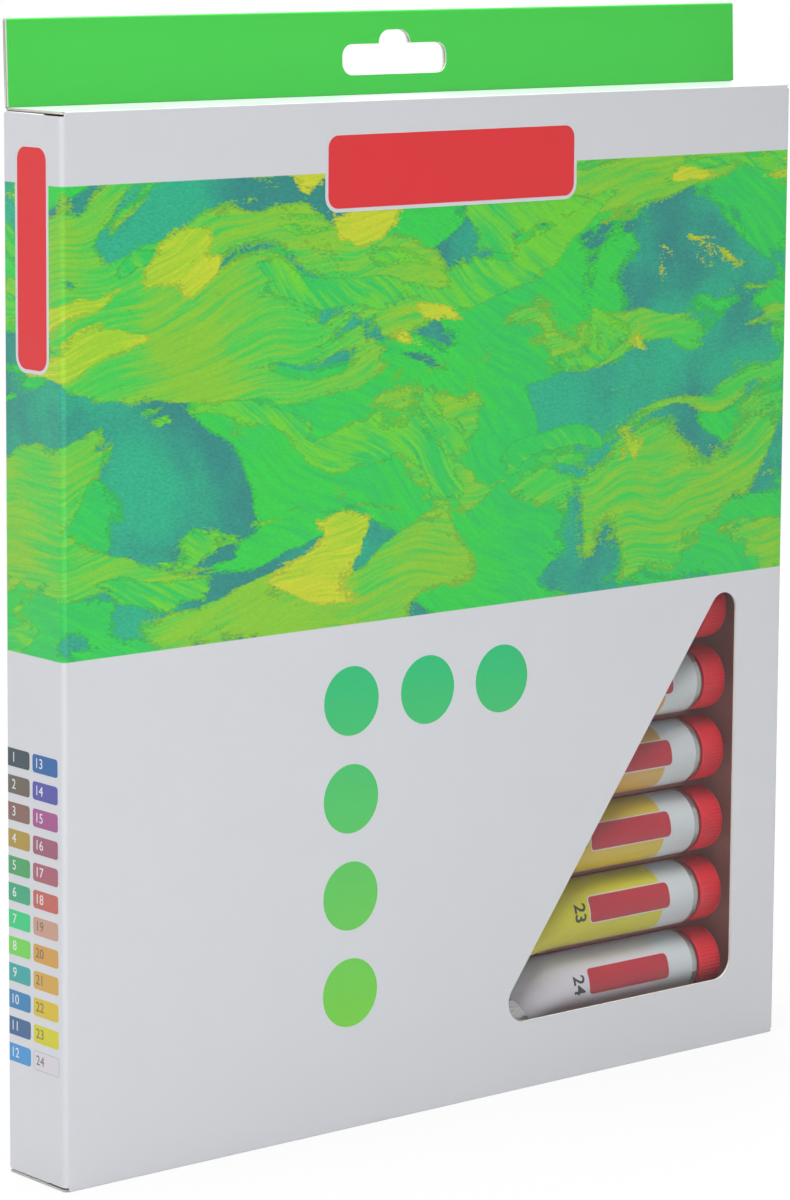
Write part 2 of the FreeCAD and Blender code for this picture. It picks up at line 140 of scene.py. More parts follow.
# Stage, in metres: lamps with place, size and watts, and how the floor pales away from the box.
LAMPS = (
    ("key", (-0.80, -0.40, 0.20), 0.4, 0.8),
    ("low", (-0.12, -0.40, 0.02), 0.35, 0.65),
    ("top", (-0.30, -0.12, 1.50), 1.2, 44.0),
    ("rear", (0.55, 0.80, 0.55), 0.8, 7.0),
)
LAMP_TARGET = (0, 0, 0.12)
WORLD_LIGHT = 0.05
FLOOR_SIZE = 8
FLOOR_GREY = (0.55, 0.55, 0.55, 1)
FLOOR_PALE_NEAR = (0.3, 0.88)
FLOOR_PALE_FAR = (1.2, 1.0)


def linear(screen):
    """A screen colour from 0 to 255 as the linear colour that the shaders take."""
    shares = [value / 255 for value in screen]
    return [((c + 0.055) / 1.055) ** 2.4 if c > 0.04 else c / 12.92 for c in shares] + [1.0]


def printed(screen):
    """A screen colour as an ink under a glossy coat, which adds its own light."""
    coat_light, darkest = 0.035, 0.004
    return [max(value - coat_light, darkest) for value in linear(screen)[:3]] + [1.0]


# Settings


def length(name, description, millimetres):
    return bpy.props.FloatProperty(
        name=name, description=description, default=millimetres * MM, unit="LENGTH", precision=5
    )


def colour(name, description, screen):
    return bpy.props.FloatVectorProperty(
        name=name,
        description=description,
        default=linear(screen)[:3],
        size=3,
        subtype="COLOR",
        min=0,
        max=1,
    )


class PaintBoxSizes(bpy.types.PropertyGroup):
    """Sizes of the print, the tubes and the caps."""

    picture_low: length("Picture low edge", "Height of the picture's lower edge", 124.7)
    picture_high: length("Picture high edge", "Height of the picture's upper edge", 233.2)
    ink: length("Ink thickness", "Thickness of a printed field", 0.02)
    keyline: length("Keyline", "Width of the white line round a label", 0.9)
    label_radius: length("Label radius", "Corner radius of a label", 3.0)
    fold_radius: length("Fold radius", "Outer radius of the carton's upright folds", 1.2)
    dab: length("Dab", "Width of the round dabs on the front", 17.0)
    chip_length: length("Chip length", "Length of one colour chip", 9.9)
    chip_height: length("Chip height", "Height of one colour chip", 4.3)
    chip_pitch: length("Chip pitch", "Step from one chip to the next", 6.4)
    chip_radius: length("Chip radius", "Corner radius of one colour chip", 0.8)
    tube_radius: length("Tube radius", "Radius of a tube's barrel", 8.4)
    tube_length: length("Tube length", "Length of the round barrel", 46.8)
    taper_length: length("Taper length", "Length that runs from round to flat", 27.0)
    shoulder_length: length("Shoulder length", "Cone between barrel and cap", 1.2)
    crimp_width: length("Crimp width", "Width of the folded end", 25.6)
    crimp_length: length("Crimp length", "Length of the folded end", 5.5)
    crimp_thickness: length("Crimp thickness", "Thickness of the folded end", 1.0)
    cap_radius: length("Cap radius", "Radius over a cap's ribs", 8.3)
    cap_length: length("Cap length", "Length of a cap", 8.2)
    cap_gap: length("Cap gap", "Gap between tube and cap", 0.2)
    rib_depth: length("Rib depth", "Depth of the grooves between grip ribs", 0.32)
    cap_ribs: bpy.props.IntProperty(
        name="Cap ribs", description="Grip ribs round a cap", default=54, min=12
    )
    crimp_roll: bpy.props.FloatProperty(
        name="Crimp roll",
        description="Turn of the crimps from upright",
        default=math.radians(48),
        subtype="ANGLE",
    )


class PaintBoxColours(bpy.types.PropertyGroup):
    """Colours of the board, the print, the tray, the tubes and the caps."""

    board: colour("Board", "Coated white of the carton", (209, 211, 216))
    core: colour("Board core", "Cut edges of the board", (214, 212, 207))
    inside: colour("Board inside", "Uncoated inside of the carton", (176, 170, 160))
    # The flap colour is partly the green print and partly painted shade: it is set darker to stand for
    # the shadowed gap under the lid.
    tab: colour("Tab", "Green of the hang tab", (62, 194, 68))
    flap: colour("Dust flap", "Print on the dust flaps, darkened as painted shade", (92, 150, 74))
    label: colour("Label", "Red of the labels", (218, 42, 48))
    plaque: colour("Plaque", "Red field on the tubes", (178, 22, 44))
    mark: colour("Mark", "Dark numbers on the tubes", (44, 48, 54))
    tray: colour("Tray", "Formed sheet of the tray", (204, 132, 122))
    tube: colour("Tube", "White lacquer of the tubes", (204, 211, 214))
    metal: colour("Tube metal", "Bare soft metal", (168, 170, 168))
    cap: colour("Cap", "Moulded caps", (220, 34, 50))


def sizes():
    return bpy.context.scene.paint_box_sizes


def colours():
    return bpy.context.scene.paint_box_colours


# Shader nodes


class Tree:
    """Adds and joins the nodes of one material or node group."""

    def __init__(self, tree):
        self.tree = tree

    def add(self, kind, inputs=(), **settings):
        node = self.tree.nodes.new("ShaderNode" + kind)
        for name, value in settings.items():
            setattr(node, name, value)
        for name, value in dict(inputs).items():
            self.put(node.inputs[name], value)
        return node

    def put(self, socket, value):
        if isinstance(value, bpy.types.NodeSocket):
            self.tree.links.new(value, socket)
        else:
            socket.default_value = value

    def math(self, operation, first, second=0.0, third=0.0, clamp=False):
        node = self.add("Math", {0: first, 1: second, 2: third}, operation=operation, use_clamp=clamp)
        return node.outputs[0]

    def vector(self, operation, first, second):
        return self.add("VectorMath", {0: first, 1: second}, operation=operation).outputs[0]

    def mix(self, factor, first, second, blend="MIX"):
        node = self.add("Mix", {0: factor, 6: first, 7: second}, data_type="RGBA", blend_type=blend)
        return node.outputs[2]

    def step(self, value, low, high):
        """Rises smoothly from 0 at low to 1 at high."""
        inputs = {"Value": value, "From Min": low, "From Max": high}
        return self.add("MapRange", inputs, interpolation_type="SMOOTHSTEP").outputs[0]

    def noise(self, place, scale, detail=2.0, roughness=0.5, distortion=0.0):
        inputs = {"Vector": place, "Scale": scale, "Detail": detail}
        inputs.update({"Roughness": roughness, "Distortion": distortion})
        return self.add("TexNoise", inputs)

    def mapping(self, place, turn=(0, 0, 0), scale=(1, 1, 1)):
        return self.add("Mapping", {"Vector": place, "Rotation": turn, "Scale": scale}).outputs[0]

    def bump(self, height, strength, distance):
        inputs = {"Height": height, "Strength": strength, "Distance": distance}
        return self.add("Bump", inputs).outputs[0]


def new_group(name, inputs, outputs):
    """Starts a node group and returns its tree, its inputs and its output node."""
    group = bpy.data.node_groups.new(name, "ShaderNodeTree")
    for socket, kind in inputs:
        group.interface.new_socket(socket, in_out="INPUT", socket_type="NodeSocket" + kind)
    for socket, kind in outputs:
        group.interface.new_socket(socket, in_out="OUTPUT", socket_type="NodeSocket" + kind)
    tree = Tree(group)
    entry = group.nodes.new("NodeGroupInput")
    leave = group.nodes.new("NodeGroupOutput")
    return tree, entry.outputs, leave.inputs


def board_fibre():
    """Mottled stock with a fine fibre, shared by every board surface."""
    name = "Board fibre"
    if name in bpy.data.node_groups:
        return bpy.data.node_groups[name]
    tree, given, made = new_group(
        name,
        [("Colour", "Color"), ("Mottle", "Float"), ("Gloss", "Float")],
        [("Colour", "Color"), ("Roughness", "Float"), ("Height", "Float")],
    )
    place = tree.add("TexCoord").outputs["Object"]
    cloud = tree.noise(place, 70, 3).outputs[0]
    fibre = tree.noise(tree.mapping(place, scale=(1, 1, 0.35)), 2600, 2).outputs[0]
    tone = tree.math("ADD", tree.math("MULTIPLY", cloud, 0.7), tree.math("MULTIPLY", fibre, 0.3))
    tree.put(made["Colour"], toned(tree, given["Colour"], tone, given["Mottle"]))
    rough = tree.math("SUBTRACT", tree.math("MULTIPLY_ADD", cloud, 0.16, 0.5), given["Gloss"])
    tree.put(made["Roughness"], rough)
    tree.put(made["Height"], tree.math("MULTIPLY_ADD", cloud, 0.4, tree.math("MULTIPLY", fibre, 0.6)))
    return tree.tree


def moulded_grain():
    """Slight flow marks and a fine grain, shared by the plastics and the lacquer."""
    name = "Moulded grain"
    if name in bpy.data.node_groups:
        return bpy.data.node_groups[name]
    tree, given, made = new_group(
        name,
        [("Colour", "Color"), ("Scale", "Float"), ("Variation", "Float"), ("Roughness", "Float")],
        [("Colour", "Color"), ("Roughness", "Float"), ("Height", "Float")],
    )
    place = tree.add("TexCoord").outputs["Object"]
    flow = tree.noise(place, tree.math("MULTIPLY", given["Scale"], 0.12), 3).outputs[0]
    grain = tree.noise(place, given["Scale"], 2).outputs[0]
    tree.put(made["Colour"], toned(tree, given["Colour"], flow, given["Variation"]))
    uneven = tree.math("MULTIPLY", tree.math("SUBTRACT", grain, 0.5), 0.2)
    tree.put(made["Roughness"], tree.math("ADD", given["Roughness"], uneven))
    tree.put(made["Height"], grain)
    return tree.tree


def new_material(name):
    """A material with a Principled shader, and the tree that feeds it."""
    material = bpy.data.materials.new(name)
    material.use_nodes = True
    tree = Tree(material.node_tree)
    return material, tree, material.node_tree.nodes["Principled BSDF"].inputs


def finish_with(tree, shader, group, inputs, strength, distance):
    """Feeds a shader from a surface group, with its height as a bump."""
    node = tree.add("Group", node_tree=group)
    for name, value in inputs.items():
        tree.put(node.inputs[name], value)
    tree.put(shader["Base Color"], node.outputs["Colour"])
    tree.put(shader["Roughness"], node.outputs["Roughness"])
    tree.put(shader["Normal"], tree.bump(node.outputs["Height"], strength, distance))


def opaque(shade):
    return [*shade, 1.0]


def board_material(name, shade, gloss, mottle=0.05, coat=0.0):
    if name in bpy.data.materials:
        return bpy.data.materials[name]
    material, tree, shader = new_material(name)
    inputs = {"Colour": opaque(shade), "Mottle": mottle, "Gloss": gloss}
    finish_with(tree, shader, board_fibre(), inputs, 0.12, 0.00004)
    shader["Coat Weight"].default_value = coat
    shader["Coat Roughness"].default_value = 0.16
    return material


def white_material():
    return board_material("White coated board", colours().board, 0.14, coat=0.5)


def core_material():
    return board_material("Cut board edge", colours().core, -0.2, 0.18)


def inside_material():
    return board_material("Bare board inside", colours().inside, -0.2, 0.16)


def chart_material():
    """Printed ink whose colour is kept on the mesh."""
    material, tree, shader = new_material("Chart ink")
    shade = tree.add("Attribute", attribute_name="Paint").outputs["Color"]
    inputs = {"Colour": shade, "Mottle": 0.05, "Gloss": 0.14}
    finish_with(tree, shader, board_fibre(), inputs, 0.1, 0.00003)
    return material


def sleeve_material():
    """White coated board with a broad band of loose paint strokes round the front and sides."""
    material, tree, shader = new_material("Printed carton")
    place = tree.add("TexCoord").outputs["Object"]
    axes = tree.add("SeparateXYZ", {0: place}).outputs
    low, high = sizes().picture_low, sizes().picture_high
    edge = 0.1 * MM
    above = tree.step(axes["Z"], low - edge, low + edge)
    below = tree.step(axes["Z"], high + edge, high - edge)
    rear = PICTURE_REAR * MM
    ahead = tree.step(axes["Y"], rear + edge, rear - edge)
    band = tree.math("MULTIPLY", tree.math("MULTIPLY", above, below), ahead)
    strokes = painted_strokes(tree, place)
    surface = tree.mix(band, opaque(colours().board), strokes)
    inputs = {"Colour": surface, "Mottle": 0.04, "Gloss": 0.14}
    finish_with(tree, shader, board_fibre(), inputs, 0.12, 0.00004)
    shader["Coat Weight"].default_value = 0.25
    shader["Coat Roughness"].default_value = 0.22
    return material


def painted_strokes(tree, place):
    """Overlapping patches of teal, green and yellow-green with ragged edges and a canvas grain."""
    drift = tree.noise(place, 17, 2).outputs["Color"]
    drift = tree.vector("SUBTRACT", drift, (0.5, 0.5, 0.5))
    bent = tree.vector("ADD", place, tree.vector("MULTIPLY", drift, (0.03, 0.03, 0.03)))
    rising = tree.mapping(bent, turn=(0, math.radians(-56), 0), scale=(1.0, 1.0, 1.9))
    falling = tree.mapping(bent, turn=(0, math.radians(24), 0), scale=(1.0, 1.0, 2.3))
    canvas = tree.noise(tree.mapping(place, scale=(0.6, 0.6, 1.3)), 1700, 2).outputs[0]
    ragged = tree.math("MULTIPLY", tree.math("SUBTRACT", canvas, 0.5), 0.05)
    cloud = tree.noise(place, 26, 3).outputs[0]
    laid = tree.mix(tree.step(cloud, 0.4, 0.62), linear((16, 170, 128)), linear((20, 130, 122)))
    laid = toned(tree, laid, canvas, 0.75)
    layers = (
        (rising, 15, 0.37, 0.495, (18, 192, 84), (34, 200, 62)),
        (falling, 13, 0.92, 0.535, (52, 200, 70), (128, 194, 34)),
        (rising, 19, 1.71, 0.585, (24, 194, 80), (100, 202, 36)),
        (falling, 18, 2.43, 0.635, (150, 204, 28), (196, 206, 30)),
    )
    for way, scale, offset, edge, first, second in layers:
        spot = tree.vector("ADD", way, (offset, 0.4 * offset, 0.7 * offset))
        field = tree.math("ADD", tree.noise(spot, scale, 5, 0.5, 0.7).outputs[0], ragged)
        streak = tree.noise(tree.mapping(spot, scale=(1, 1, 9)), 3 * scale, 4, 0.6).outputs[0]
        blend = tree.math("MULTIPLY_ADD", streak, 0.5, tree.math("MULTIPLY", cloud, 0.5))
        paint = tree.mix(tree.step(blend, 0.42, 0.58), linear(first), linear(second))
        paint = toned(tree, toned(tree, paint, streak, 0.3), canvas, 0.25)
        rim = tree.step(tree.math("ABSOLUTE", tree.math("SUBTRACT", field, edge + 0.006)), 0.012, 0.0)
        paint = toned(tree, paint, tree.math("MULTIPLY_ADD", rim, -0.5, 0.5), 0.5)
        laid = tree.mix(tree.step(field, edge - 0.005, edge + 0.005), laid, paint)
    return laid


def toned(tree, shade, value, amount):
    """Lightens or darkens a colour as a value runs above or below a half."""
    tone = tree.math("MULTIPLY_ADD", tree.math("SUBTRACT", value, 0.5), amount, 1.0)
    grey = tree.add("CombineColor", dict.fromkeys(range(3), tone)).outputs[0]
    return tree.mix(1.0, shade, grey, "MULTIPLY")


def gradient_ink(name, low, high, lower, upper):
    """Ink that runs from one green to another up the carton."""
    material, tree, shader = new_material(name)
    place = tree.add("TexCoord").outputs["Object"]
    height = tree.add("SeparateXYZ", {0: place}).outputs["Z"]
    share = tree.add("MapRange", {"Value": height, "From Min": low, "From Max": high}).outputs[0]
    shade = tree.mix(share, lower, upper)
    inputs = {"Colour": shade, "Mottle": 0.06, "Gloss": 0.14}
    finish_with(tree, shader, board_fibre(), inputs, 0.1, 0.00003)
    return material


def film_material():
    material, tree, shader = new_material("Clear film")
    place = tree.add("TexCoord").outputs["Object"]
    ripple = tree.noise(tree.mapping(place, scale=(1, 1, 0.3)), 38, 2).outputs[0]
    tree.put(shader["Normal"], tree.bump(ripple, 0.25, 0.0004))
    tree.put(shader["Roughness"], tree.math("MULTIPLY_ADD", ripple, 0.06, 0.05))
    shader["Base Color"].default_value = (0.25, 0.26, 0.27, 1)
    shader["Alpha"].default_value = 0.06
    shader["Specular IOR Level"].default_value = 1.0
    return material


def tray_material():
    material, tree, shader = new_material("Tray sheet")
    inputs = {"Colour": opaque(colours().tray), "Scale": 1500, "Variation": 0.16, "Roughness": 0.55}
    finish_with(tree, shader, moulded_grain(), inputs, 0.25, 0.00006)
    return material


def cap_material():
    material, tree, shader = new_material("Cap plastic")
    inputs = {"Colour": opaque(colours().cap), "Scale": 1900, "Variation": 0.1, "Roughness": 0.42}
    finish_with(tree, shader, moulded_grain(), inputs, 0.1, 0.00003)
    return material


def rounded_field(tree, along, round_it, box, radius):
    """A mask of a rounded rectangle on a tube's unrolled skin."""
    (low, high), (under, over) = box
    ends = []
    for value, first, last in ((along, low, high), (round_it, under, over)):
        middle, half = (first + last) / 2, (last - first) / 2
        off = tree.math("ABSOLUTE", tree.math("SUBTRACT", value, middle))
        ends.append(tree.math("MAXIMUM", tree.math("SUBTRACT", off, half - radius), 0.0))
    squares = [tree.math("MULTIPLY", end, end) for end in ends]
    distance = tree.math("SQRT", tree.math("ADD", *squares))
    return tree.step(distance, radius + 0.04, radius - 0.04)


def tube_material():
    """White lacquer with a band of the paint's colour, a red plaque and bare metal at both ends.

    The skin's UV map holds millimetres: from the cap end along, and from the front round.
    """
    material, tree, shader = new_material("Tube skin")
    skin = tree.add("SeparateXYZ", {0: tree.add("UVMap", uv_map="Skin").outputs[0]}).outputs
    along, round_it = skin["X"], skin["Y"]
    paint = tree.add("Attribute", attribute_name="Paint").outputs["Color"]
    band, line, plaque = [
        rounded_field(tree, along, round_it, *field) for field in (PAINT_BAND, PLAQUE_LINE, PLAQUE_FIELD)
    ]
    surface = tree.mix(band, opaque(colours().tube), paint)
    surface = tree.mix(line, surface, opaque(colours().tube))
    surface = tree.mix(plaque, surface, opaque(colours().plaque))
    far = tree.math("MULTIPLY_ADD", round_it, BARE_FOLD_SLANT, along)
    shoulder = tree.step(along, BARE_SHOULDER_END, BARE_SHOULDER_END - 0.1)
    fold = tree.step(far, BARE_FOLD_START, BARE_FOLD_START + 0.2)
    bare = tree.math("ADD", shoulder, fold, clamp=True)
    surface = tree.mix(bare, surface, opaque(colours().metal))
    inputs = {"Colour": surface, "Scale": 700, "Variation": 0.08, "Roughness": 0.34}
    finish_with(tree, shader, moulded_grain(), inputs, 0.1, 0.00005)
    place = tree.add("TexCoord").outputs["Object"]
    crease = tree.noise(tree.mapping(place, scale=(0.5, 1, 1)), 420, 3, 0.6, 0.8).outputs[0]
    soft = tree.math("MULTIPLY_ADD", bare, 0.8, tree.step(along, CRUMPLED_FROM, CRUMPLED_TO))
    dents = tree.math("MULTIPLY", crease, soft)
    crumple = tree.add("Bump", {"Height": dents, "Strength": 0.8, "Distance": 0.0006})
    tree.put(crumple.inputs["Normal"], shader["Normal"].links[0].from_socket)
    tree.put(shader["Normal"], crumple.outputs[0])
    tree.put(shader["Metallic"], tree.math("MULTIPLY", bare, 0.9))
    shader["Coat Weight"].default_value = 0.15
    return material


# Mesh work


def clear_selection():
    if bpy.context.object and bpy.context.object.mode != "OBJECT":
        bpy.ops.object.mode_set(mode="OBJECT")
    bpy.ops.object.select_all(action="DESELECT")


def pick(piece):
    """Makes one object the only selected and the active one."""
    clear_selection()
    piece.select_set(True)
    bpy.context.view_layer.objects.active = piece


def name_it(piece, name):
    piece.name = name
    piece.data.name = name
    return piece


def settle(piece):
    """Puts an object's place into its mesh."""
    pick(piece)
    bpy.ops.object.transform_apply(location=True, rotation=True, scale=True)


def edit(piece):
    pick(piece)
    bpy.ops.object.mode_set(mode="EDIT")


def leave():
    bpy.ops.object.mode_set(mode="OBJECT")


def use_modifier(piece, kind, **settings):
    pick(piece)
    modifier = piece.modifiers.new(kind.title(), kind)
    for name, value in settings.items():
        setattr(modifier, name, value)
    bpy.ops.object.modifier_apply(modifier=modifier.name)


def smooth(piece, angle=30):
    pick(piece)
    bpy.ops.object.shade_smooth_by_angle(angle=math.radians(angle))


def smooth_copy(node, name):
    """A copy of a solid with its corners joined and its rounds shaded smooth."""
    source = frame["nodes"][node]
    piece = bpy.data.objects.new(name, source.data.copy())
    bpy.context.scene.collection.objects.link(piece)
    name_it(piece, name)
    edit(piece)
    bpy.ops.mesh.select_all(action="SELECT")
    bpy.ops.mesh.remove_doubles(threshold=0.002 * MM)
    leave()
    smooth(piece)
    use_modifier(piece, "WEIGHTED_NORMAL", weight=100, keep_sharp=True)
    return piece


def dress(piece, materials, choose=None):
    """Gives an object its materials, and each face the one that a rule picks."""
    piece.data.materials.clear()
    for material in materials:
        piece.data.materials.append(material)
    for face in piece.data.polygons:
        face.material_index = choose(face) if choose else 0


def stand_for(piece, body, slot, *nodes):
    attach(piece, body)
    if nodes:
        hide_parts(*nodes)


def body_of(node):
    return next(body for body, nodes in frame["record"]["behaviour"]["bodies"].items() if node in nodes)


def rounded_plate(name, centre, size, radius, facing):
    """A thin plate with round corners on a face of the carton, facing -Y or -X."""
    turn = {"front": (math.pi / 2, 0, 0), "left": (math.pi / 2, 0, -math.pi / 2)}[facing]
    clear_selection()
    bpy.ops.mesh.primitive_plane_add(size=1, location=centre, rotation=turn)
    piece = name_it(bpy.context.object, name)
    piece.scale = (size[0], size[1], 1)
    settle(piece)
    edit(piece)
    bpy.ops.mesh.select_all(action="SELECT")
    bpy.ops.mesh.bevel(offset=radius, segments=10, affect="VERTICES")
    leave()
    use_modifier(piece, "SOLIDIFY", thickness=sizes().ink, offset=-1)
    return piece


def wrap_fold(piece):
    """Carries a field on the left side round the rear fold."""
    low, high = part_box("carton_sleeve")
    fold = sizes().fold_radius
    middle, start = low.x + fold, high.y - fold
    cuts, cut_share = 8, 0.2
    edit(piece)
    for cut in range(cuts):
        bpy.ops.mesh.select_all(action="SELECT")
        bpy.ops.mesh.bisect(plane_co=(0, start + cut * fold * cut_share, 0), plane_no=(0, 1, 0))
    leave()
    for vertex in piece.data.vertices:
        past = (vertex.co.y - start) / fold
        if past > 0:
            reach = middle - vertex.co.x
            vertex.co.x = middle - reach * math.cos(past)
            vertex.co.y = start + reach * math.sin(past)


def tint(piece, shade):
    """Keeps one colour on every corner of a mesh."""
    layer = piece.data.color_attributes.new("Paint", "FLOAT_COLOR", "CORNER")
    for corner in layer.data:
        corner.color = shade


def join(pieces, name):
    clear_selection()
    for piece in pieces:
        piece.select_set(True)
    bpy.context.view_layer.objects.active = pieces[0]
    bpy.ops.object.join()
    return name_it(bpy.context.object, name)


def lettering(name, words, height, place, turn, depth, swell=0.0):
    """Plain numerals as a thin mesh, placed and turned."""
    clear_selection()
    bpy.ops.object.text_add()
    piece = bpy.context.object
    piece.data.body = words
    piece.data.align_x = "CENTER"
    piece.data.align_y = "CENTER"
    piece.data.size = height
    piece.data.extrude = depth / 2
    piece.data.offset = swell
    piece.data.resolution_u = 5
    pick(piece)
    bpy.ops.object.convert(target="MESH")
    piece = name_it(bpy.context.object, name)
    piece.rotation_euler = turn
    piece.location = place
    settle(piece)
    return piece


# Carton


class PAINTBOX_OT_carton(bpy.types.Operator):
    """Prints the sleeve and shows the board's cut edges and bare inside"""

    bl_idname = "paint_box.carton"
    bl_label = "Carton"

    def execute(self, context):
        piece = smooth_copy("carton_sleeve", "printed_carton")
        low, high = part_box("carton_sleeve")
        half_width, half_depth = (high.x - low.x) / 2, (high.y - low.y) / 2
        radius = sizes().fold_radius
        outer, cut = 0.94 * radius, 0.52 * radius

        def choose(face):
            across = max(abs(face.center.x) - half_width + radius, 0)
            deep = max(abs(face.center.y) - half_depth + radius, 0)
            out = math.hypot(across, deep)
            if out > outer:
                return 0
            return 1 if out > cut else 2

        dress(piece, [sleeve_material(), core_material(), inside_material()], choose)
        stand_for(piece, "carton", "sleeve_board", "carton_sleeve")
        return {"FINISHED"}


class PAINTBOX_OT_ends(bpy.types.Operator):
    """Dresses the lid, the hang tab, the bottom panel and the flaps"""

    bl_idname = "paint_box.ends"
    bl_label = "Ends"

    def execute(self, context):
        white = white_material()
        green = board_material("Green printed board", colours().tab, 0.08)
        # The dust flaps' green print is darkened with painted shade for the gap under the lid.
        flap_print_and_shade = board_material("Printed dust flap", colours().flap, 0.0)
        core, inside = core_material(), inside_material()
        steep = 0.7
        tab_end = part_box("hang_tab")[1] - Vector((0.5, 0, 2)) * MM
        half_slot = 17 * MM

        def flat(outward):
            def choose(face):
                if abs(face.normal.z) < steep:
                    return 1
                return 0 if face.normal.z * outward > 0 else 2

            return choose

        def doubled(face):
            across, level = abs(face.center.x), abs(face.normal.y) < 0.5
            in_slot = across < half_slot and level and face.center.z < tab_end.z
            return 1 if abs(face.normal.x) > steep or across > tab_end.x or in_slot else 0

        panels = [
            ("lid_panel", "white_lid", white, 1, "lid_board"),
            ("top_dust_flap_left", "left_top_flap", flap_print_and_shade, 1, "flap_board"),
            ("top_dust_flap_right", "right_top_flap", flap_print_and_shade, 1, "flap_board"),
            ("bottom_panel", "white_bottom", white, -1, "base_board"),
            ("bottom_dust_flap_left", "left_bottom_flap", flap_print_and_shade, -1, "flap_board"),
            ("bottom_dust_flap_right", "right_bottom_flap", flap_print_and_shade, -1, "flap_board"),
        ]
        for node, name, face, outward, slot in panels:
            piece = smooth_copy(node, name)
            dress(piece, [face, core, inside], flat(outward))
            stand_for(piece, body_of(node), slot, node)
        tuck = smooth_copy("bottom_tuck_flap", "white_tuck")
        dress(tuck, [white, core], lambda face: 0 if abs(face.normal.y) > steep else 1)
        stand_for(tuck, "bottom_tuck", "base_board", "bottom_tuck_flap")
        tab = smooth_copy("hang_tab", "green_tab")
        dress(tab, [green, core], doubled)
        stand_for(tab, "tab", "tab_board", "hang_tab")
        return {"FINISHED"}


class PAINTBOX_OT_labels(bpy.types.Operator):
    """Adds the bare red labels and the green dabs on the front"""

    bl_idname = "paint_box.labels"
    bl_label = "Labels"

    def execute(self, context):
        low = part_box("carton_sleeve")[0]
        size = sizes()
        white = white_material()
        red = board_material("Red ink", colours().label, 0.16)
        layers = (("line", size.keyline, white), ("field", 0.0, red))
        for name, facing, (across, up), (wide, tall) in FIELDS:
            for level, (layer, grow, material) in enumerate(layers, 1):
                lift = level * 1.5 * size.ink
                if facing == "front":
                    centre = (across * MM, low.y - lift, up * MM)
                else:
                    centre = (low.x - lift, across * MM, up * MM)
                piece = rounded_plate(
                    "%s_label_%s" % (name, layer),
                    centre,
                    (wide * MM + 2 * grow, tall * MM + 2 * grow),
                    size.label_radius + grow,
                    facing,
                )
                dress(piece, [material])
                stand_for(piece, "carton", "sleeve_board")
        bottom, top = [height * MM for height in DAB_INK_HEIGHTS]
        ink = gradient_ink("Green dab ink", bottom, top, *[linear(green) for green in DAB_GREENS])
        dabs = []
        nearly_half = 0.499
        for number, (across, up) in enumerate(DABS, 1):
            centre = (across * MM, low.y - size.ink, up * MM)
            extent = (size.dab, size.dab)
            dabs.append(rounded_plate("dab_%d" % number, centre, extent, size.dab * nearly_half, "front"))
        piece = join(dabs, "front_dabs")
        dress(piece, [ink])
        stand_for(piece, "carton", "sleeve_board")
        return {"FINISHED"}


class PAINTBOX_OT_chart(bpy.types.Operator):
    """Adds the chart of numbered colour chips on the left side"""

    bl_idname = "paint_box.chart"
    bl_label = "Colour chart"

    def execute(self, context):
        low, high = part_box("carton_sleeve")
        size = sizes()
        lift = low.x - size.ink
        plates, marks = [], []
        front_end = FRONT_CHIP_END * MM
        spans = (
            (REAR_CHIP_START * MM, high.y + REAR_CHIP_WRAP * MM),
            (front_end - size.chip_length, front_end),
        )
        for number, screen in enumerate(PAINTS, 1):
            column, row = divmod(number - 1, ROWS)
            near, far = spans[column]
            up = CHART_TOP * MM - row * size.chip_pitch
            plate = rounded_plate(
                "chip_%02d" % number,
                (lift, (near + far) / 2, up),
                (far - near, size.chip_height),
                size.chip_radius,
                "left",
            )
            if column == 0:
                wrap_fold(plate)
            tint(plate, printed(screen))
            plates.append(plate)
            if number == len(PAINTS):
                line = CHIP_OUTLINE * MM
                rim = rounded_plate(
                    "chip_rim",
                    (lift + 0.4 * size.ink, (near + far) / 2, up),
                    (far - near + 2 * line, size.chip_height + 2 * line),
                    size.chip_radius + line,
                    "left",
                )
                tint(rim, linear(CHIP_OUTLINE_GREY))
                plates.append(rim)
            mark = lettering(
                "chip_mark_%02d" % number,
                str(number),
                CHIP_NUMBER_HEIGHT * MM,
                (lift - 0.5 * size.ink, CHIP_NUMBER_PLACES[column] * MM, up),
                (math.pi / 2, 0, -math.pi / 2),
                size.ink,
            )
            tint(mark, linear(DARK_NUMBER if sum(screen) > PALE_PAINT_SUM else LIGHT_NUMBER))
            marks.append(mark)
        ink = chart_material()
        for piece in (join(plates, "colour_chart"), join(marks, "chart_numbers")):
            dress(piece, [ink])
            stand_for(piece, "carton", "sleeve_board")
        return {"FINISHED"}


class PAINTBOX_OT_film(bpy.types.Operator):
    """Gives the window its clear film"""

    bl_idname = "paint_box.film"
    bl_label = "Film"

    def execute(self, context):
        dress(frame["nodes"]["window_film"], [film_material()])
        return {"FINISHED"}


# Inside


class PAINTBOX_OT_tray(bpy.types.Operator):
    """Dresses the formed tray"""

    bl_idname = "paint_box.tray"
    bl_label = "Tray"

    def execute(self, context):
        piece = smooth_copy("tray", "brown_tray")
        dress(piece, [tray_material()])
        stand_for(piece, "tray", "tray_sheet", "tray")
        return {"FINISHED"}


def start_ring(name, count, radius, along):
    """An open ring square to X, in edit mode with all of it selected."""
    clear_selection()
    bpy.ops.mesh.primitive_circle_add(
        vertices=count,
        radius=radius,
        fill_type="NOTHING",
        location=(along, 0, 0),
        rotation=(0, math.pi / 2, 0),
    )
    piece = name_it(bpy.context.object, name)
    settle(piece)
    edit(piece)
    bpy.ops.mesh.select_all(action="SELECT")
    return piece


def next_ring(move, now, wide=1.0, tall=1.0):
    """Extrudes the selected ring along X and scales it; returns its new place."""
    bpy.ops.mesh.extrude_region_move(TRANSFORM_OT_translate={"value": (move, 0, 0)})
    bpy.ops.transform.resize(value=(1, wide, tall), center_override=(now + move, 0, 0))
    return now + move


